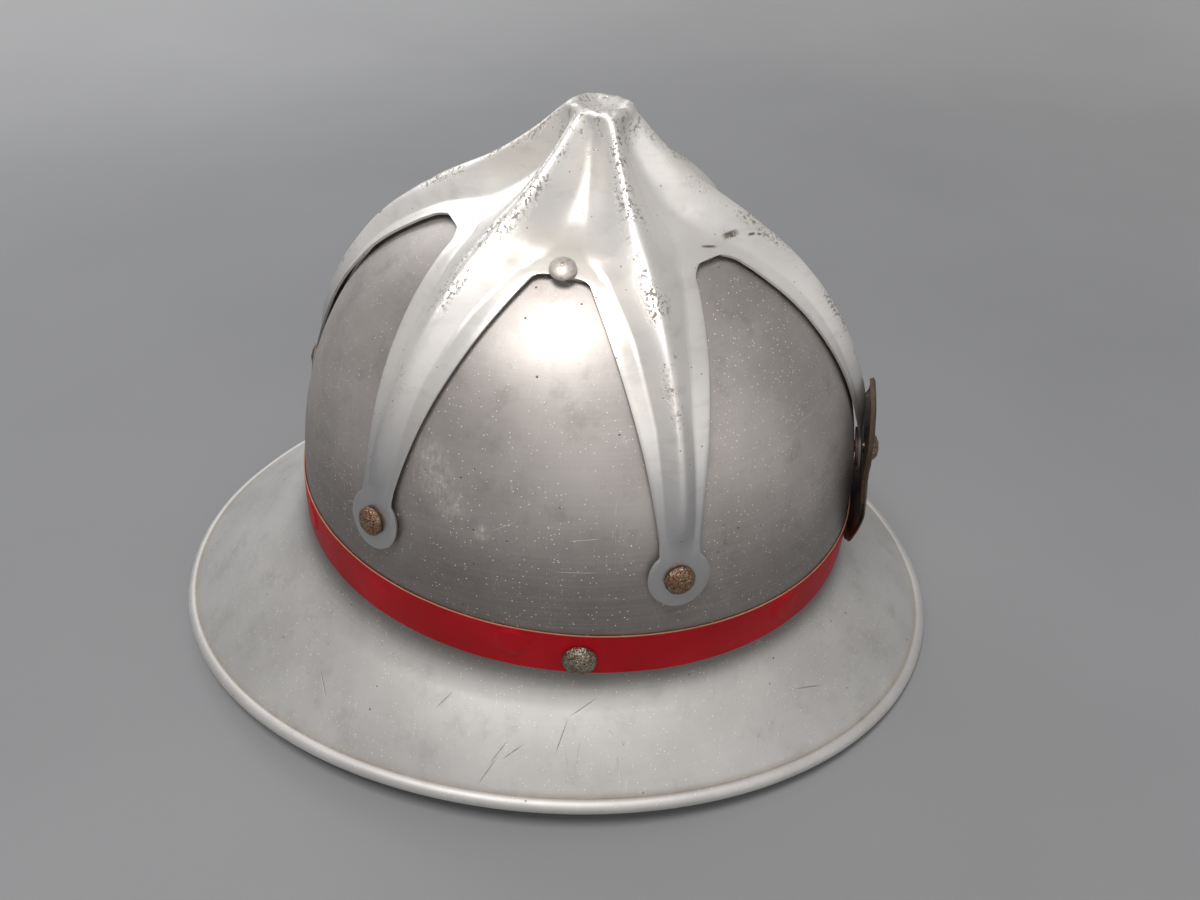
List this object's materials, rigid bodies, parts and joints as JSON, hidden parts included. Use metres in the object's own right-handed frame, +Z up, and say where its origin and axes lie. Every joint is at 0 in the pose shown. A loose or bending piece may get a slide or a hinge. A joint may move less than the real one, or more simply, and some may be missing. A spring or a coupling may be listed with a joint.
{
  "type": "firefighter helmet",
  "caption": "Pressed-metal firefighter helmet with a sloping rolled brim, a riveted star over the crown, a red band, a plain shield badge, a leather liner and a buckled chin strap.",
  "frame": {"origin": "on the resting plane, under the middle of the brim", "axes": "+Z up, -Y to the wearer's front, -X to the wearer's right"},
  "size_m": [0.2846, 0.348, 0.2218],
  "materials": {
    "shell_aluminium": "satin, worn",
    "star_aluminium": "bright, chipped along the ridges",
    "rivet_steel": "rusted",
    "strap_rivet_steel": "dull",
    "red_tape": "slightly glossy",
    "badge_bronze": "dark patina",
    "plated_steel": "dull plating",
    "fibre": "matt",
    "leather": "worn",
    "strap_leather": "worn",
    "lace_cotton": "matt"
  },
  "bodies": {
    "helmet": {"shell": "shell_aluminium", "crown_star": "star_aluminium", "red_band": "red_tape", "badge_plate": "badge_bronze", "liner_hoop": "plated_steel", "sweatband": "leather", "crown_lace": "lace_cotton", "star_rivet_front": "rivet_steel", "star_spacer_front": "fibre", "star_rivet_front_right": "rivet_steel", "star_spacer_front_right": "fibre", "star_rivet_rear_right": "rivet_steel", "star_spacer_rear_right": "fibre", "star_rivet_rear": "rivet_steel", "star_spacer_rear": "fibre", "star_rivet_rear_left": "rivet_steel", "star_spacer_rear_left": "fibre", "star_rivet_front_left": "rivet_steel", "star_spacer_front_left": "fibre", "liner_rivet_front_right": "plated_steel", "liner_spacer_front_right": "fibre", "liner_tongue_front_right": "leather", "liner_rivet_right": "plated_steel", "liner_spacer_right": "fibre", "liner_tongue_right": "leather", "liner_rivet_rear_right": "plated_steel", "liner_spacer_rear_right": "fibre", "liner_tongue_rear_right": "leather", "liner_rivet_rear_left": "plated_steel", "liner_spacer_rear_left": "fibre", "liner_tongue_rear_left": "leather", "liner_rivet_left": "plated_steel", "liner_spacer_left": "fibre", "liner_tongue_left": "leather", "liner_rivet_front_left": "plated_steel", "liner_spacer_front_left": "fibre", "liner_tongue_front_left": "leather", "crown_rivet_right": "plated_steel", "strap_rivet_right": "strap_rivet_steel", "strap_hanger_right": "plated_steel", "strap_stud_right": "plated_steel", "crown_rivet_left": "plated_steel", "strap_rivet_left": "strap_rivet_steel", "strap_hanger_left": "plated_steel", "strap_stud_left": "plated_steel"},
    "chin_strap": {"chin_strap_long": "strap_leather", "chin_strap_short": "strap_leather", "buckle_frame": "plated_steel", "strap_keeper": "strap_leather"},
    "buckle_tongue": {"buckle_tongue": "plated_steel"}
  },
  "joints": [
    {"name": "chin_strap_swing", "type": "hinge", "parent": "helmet", "child": "chin_strap", "pos_m": [0, -0.038, 0.036], "axis": [-1, 0, 0], "range_deg": [0, 120]},
    {"name": "buckle_tongue_lift", "type": "hinge", "parent": "chin_strap", "child": "buckle_tongue", "pos_m": [0.0983, -0.01844, 0.03184], "axis": [0, -0.2079, -0.9781], "range_deg": [0, 45]}
  ]
}
